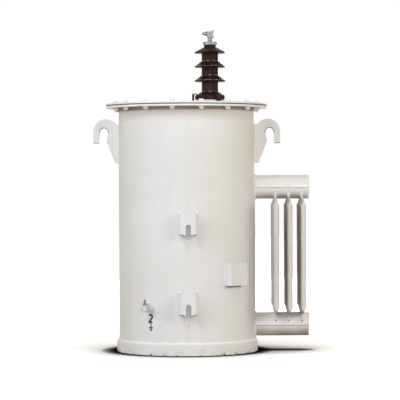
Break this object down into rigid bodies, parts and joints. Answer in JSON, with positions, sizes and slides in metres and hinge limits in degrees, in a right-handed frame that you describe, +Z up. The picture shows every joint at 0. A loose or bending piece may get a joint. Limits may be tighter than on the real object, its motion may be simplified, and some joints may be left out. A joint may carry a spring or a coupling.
{
  "type": "pole mounted transformer",
  "caption": "Single-phase oil-filled distribution transformer: round tank with bolted lid, brown porcelain bushing, lifting hooks, slotted hangers and a side radiator.",
  "frame": {"origin": "on the tank's axis, at the underside of the base ring that it stands on", "axes": "+Z up along the tank's axis, -Y towards the side with the hangers, +X towards the radiator"},
  "size_m": [0.7857, 0.667, 1.1651],
  "materials": {
    "white_paint": "semi-gloss",
    "gasket_rubber": "matte",
    "brown_porcelain": "glossy glaze",
    "tinned_metal": "tinned, satin",
    "clamp_steel": "dull, weathered",
    "valve_brass": "satin"
  },
  "bodies": {
    "root": {"tank_shell": "white_paint", "tank_bottom": "white_paint", "base_ring": "white_paint", "tank_flange": "white_paint", "tank_lid": "white_paint", "bushing_boss": "white_paint", "left_lifting_hook": "white_paint", "right_lifting_hook": "white_paint", "upper_hanger": "white_paint", "lower_hanger": "white_paint", "nameplate_bracket": "white_paint", "ground_boss": "white_paint", "upper_header": "white_paint", "lower_header": "white_paint", "upper_header_cap": "white_paint", "lower_header_cap": "white_paint", "radiator_panel_1": "white_paint", "radiator_panel_2": "white_paint", "radiator_panel_3": "white_paint", "lv_boss_1": "white_paint", "lv_boss_2": "white_paint", "lv_boss_3": "white_paint", "lid_gasket": "gasket_rubber", "bushing_gasket": "gasket_rubber", "hv_porcelain": "brown_porcelain", "lv_porcelain_1": "brown_porcelain", "lv_porcelain_2": "brown_porcelain", "lv_porcelain_3": "brown_porcelain", "hv_cap": "tinned_metal", "hv_stud": "tinned_metal", "hv_terminal": "tinned_metal", "ground_stud": "tinned_metal", "ground_connector": "tinned_metal", "lv_stud_1": "tinned_metal", "lv_stud_2": "tinned_metal", "lv_stud_3": "tinned_metal", "lv_terminal_1": "tinned_metal", "lv_terminal_2": "tinned_metal", "lv_terminal_3": "tinned_metal", "hv_clamps": "clamp_steel", "lv_clamp_ring_1": "clamp_steel", "lv_clamp_ring_2": "clamp_steel", "lv_clamp_ring_3": "clamp_steel", "relief_valve_body": "valve_brass", "relief_valve_cap": "valve_brass"}
  },
  "joints": []
}
